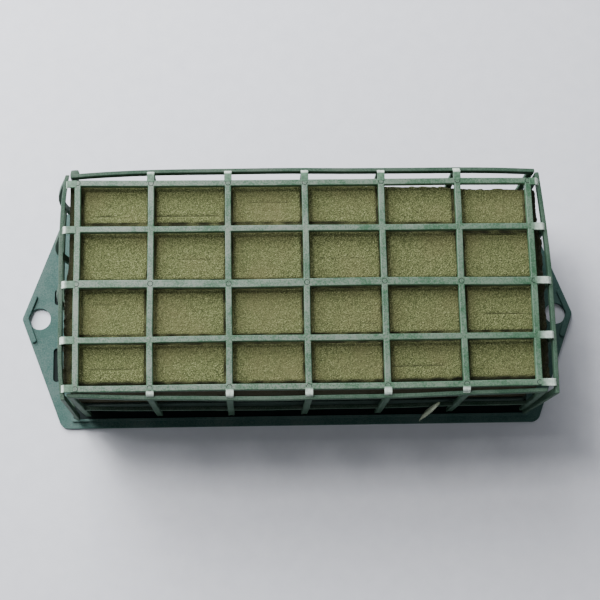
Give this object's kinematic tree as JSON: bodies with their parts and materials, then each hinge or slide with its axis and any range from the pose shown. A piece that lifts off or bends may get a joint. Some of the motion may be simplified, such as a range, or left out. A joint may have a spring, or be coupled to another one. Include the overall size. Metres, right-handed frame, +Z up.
{
  "type": "floral foam brick in a cage",
  "caption": "Block of floral foam held on a flat tray by a moulded open grid cage with fold-down sides; the tray has pointed hanging tabs with round holes.",
  "frame": {"origin": "on the surface the tray stands on, under the middle of the tray", "axes": "+X along the brick's length, +Z up, front panel towards -Y"},
  "size_m": [0.296, 0.1176, 0.0825],
  "materials": {
    "tray_plastic": "satin",
    "cage_plastic": "satin",
    "floral_foam": "matte"
  },
  "bodies": {
    "base": {"tray_floor": "tray_plastic", "left_hanging_tab": "tray_plastic", "right_hanging_tab": "tray_plastic", "left_tab_rib": "tray_plastic", "right_tab_rib": "tray_plastic", "front_tray_wall": "tray_plastic", "back_tray_wall": "tray_plastic", "left_tray_wall": "tray_plastic", "right_tray_wall": "tray_plastic", "cage_locating_rim": "tray_plastic"},
    "foam": {"foam_brick": "floral_foam"},
    "cage_top": {"grid_long_bar_front": "cage_plastic", "grid_long_bar_front_inner": "cage_plastic", "grid_long_bar_centre": "cage_plastic", "grid_long_bar_back_inner": "cage_plastic", "grid_long_bar_back": "cage_plastic", "grid_cross_bar_left_end": "cage_plastic", "grid_cross_bar_left_outer": "cage_plastic", "grid_cross_bar_left_inner": "cage_plastic", "grid_cross_bar_centre": "cage_plastic", "grid_cross_bar_right_inner": "cage_plastic", "grid_cross_bar_right_outer": "cage_plastic", "grid_cross_bar_right_end": "cage_plastic", "front_hinge_straps": "cage_plastic", "back_hinge_straps": "cage_plastic", "left_hinge_straps": "cage_plastic", "right_hinge_straps": "cage_plastic"},
    "front_panel": {"front_panel_upper_bar": "cage_plastic", "front_panel_posts": "cage_plastic", "front_panel_middle_bar": "cage_plastic", "front_panel_snap_feet": "cage_plastic"},
    "back_panel": {"back_panel_upper_bar": "cage_plastic", "back_panel_posts": "cage_plastic", "back_panel_middle_bar": "cage_plastic", "back_panel_snap_feet": "cage_plastic"},
    "left_panel": {"left_panel_upper_bar": "cage_plastic", "left_panel_posts": "cage_plastic", "left_panel_middle_bar": "cage_plastic", "left_panel_snap_feet": "cage_plastic"},
    "right_panel": {"right_panel_upper_bar": "cage_plastic", "right_panel_posts": "cage_plastic", "right_panel_middle_bar": "cage_plastic", "right_panel_snap_feet": "cage_plastic"}
  },
  "joints": [
    {"name": "cage_lift", "type": "slide", "parent": "base", "child": "cage_top", "axis": [0, 0, 1], "range_m": [0, 0.1]},
    {"name": "foam_lift", "type": "slide", "parent": "base", "child": "foam", "axis": [0, 0, 1], "range_m": [0, 0.045]},
    {"name": "front_panel_swing", "type": "hinge", "parent": "cage_top", "child": "front_panel", "pos_m": [0, -0.0543, 0.081], "axis": [-1, 0, 0], "range_deg": [0, 92]},
    {"name": "back_panel_swing", "type": "hinge", "parent": "cage_top", "child": "back_panel", "pos_m": [0, 0.056, 0.081], "axis": [1, 0, 0], "range_deg": [0, 92]},
    {"name": "left_panel_swing", "type": "hinge", "parent": "cage_top", "child": "left_panel", "pos_m": [-0.1164, 0, 0.081], "axis": [0, 1, 0], "range_deg": [0, 90]},
    {"name": "right_panel_swing", "type": "hinge", "parent": "cage_top", "child": "right_panel", "pos_m": [0.117, 0, 0.081], "axis": [0, -1, 0], "range_deg": [0, 90]}
  ],
  "couplings": [
    {"joint": "foam_lift", "follows": "cage_lift", "ratio": 0.45}
  ]
}
